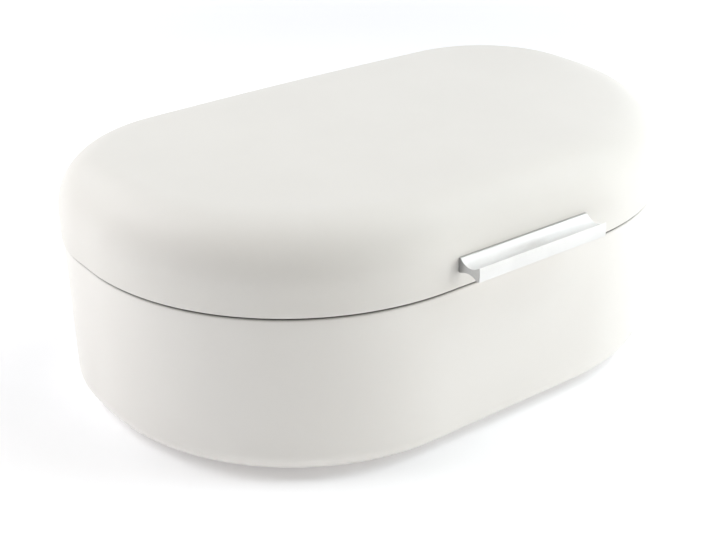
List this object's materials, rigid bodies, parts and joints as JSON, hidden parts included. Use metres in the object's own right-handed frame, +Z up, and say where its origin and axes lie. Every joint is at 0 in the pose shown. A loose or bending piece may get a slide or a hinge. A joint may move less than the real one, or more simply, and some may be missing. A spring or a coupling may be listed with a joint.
{
  "type": "bread box",
  "caption": "Free-standing bread box: round-cornered sheet-steel tub with a deep pressed lid that swings up on two back hinges, and a bar pull on the lid's front.",
  "frame": {"origin": "on the standing plane, under the middle of the overall length and depth, pull and hinges included", "axes": "+Z up, -Y the front with the pull, +X to the right of someone who faces the front"},
  "size_m": [0.414, 0.2856, 0.1644],
  "materials": {
    "tub_coat": "satin white powder coat on sheet steel",
    "lid_coat": "satin white powder coat on sheet steel",
    "collar_coat": "satin white powder coat on sheet steel",
    "handle_alloy": "satin anodised extrusion, fine lines along its length",
    "hinge_plate": "stamped steel leaf, powder coated white with the shells",
    "pin_steel": "bright drawn wire",
    "rivet_steel": "zinc-plated, dull",
    "screw_steel": "zinc-plated, bright",
    "foot_rubber": "matt grey rubber"
  },
  "bodies": {
    "tub": {"tub_shell": "tub_coat", "locating_collar": "collar_coat", "foot_front_left": "foot_rubber", "foot_front_right": "foot_rubber", "foot_back_left": "foot_rubber", "foot_back_right": "foot_rubber", "tub_hinge_leaf_left": "hinge_plate", "tub_hinge_leaf_right": "hinge_plate", "hinge_pin_left": "pin_steel", "hinge_pin_right": "pin_steel", "tub_rivets_left": "rivet_steel", "tub_rivets_right": "rivet_steel"},
    "lid": {"lid_shell": "lid_coat", "lid_hinge_leaf_left": "hinge_plate", "lid_hinge_leaf_right": "hinge_plate", "lid_rivets_left": "rivet_steel", "lid_rivets_right": "rivet_steel", "handle": "handle_alloy", "handle_screw_left": "screw_steel", "handle_screw_right": "screw_steel", "handle_washer_left": "screw_steel", "handle_washer_right": "screw_steel"}
  },
  "joints": [
    {"name": "lid_hinge", "type": "hinge", "parent": "tub", "child": "lid", "pos_m": [0, 0.1382, 0.1091], "axis": [-1, 0, 0], "range_deg": [0, 100]}
  ]
}
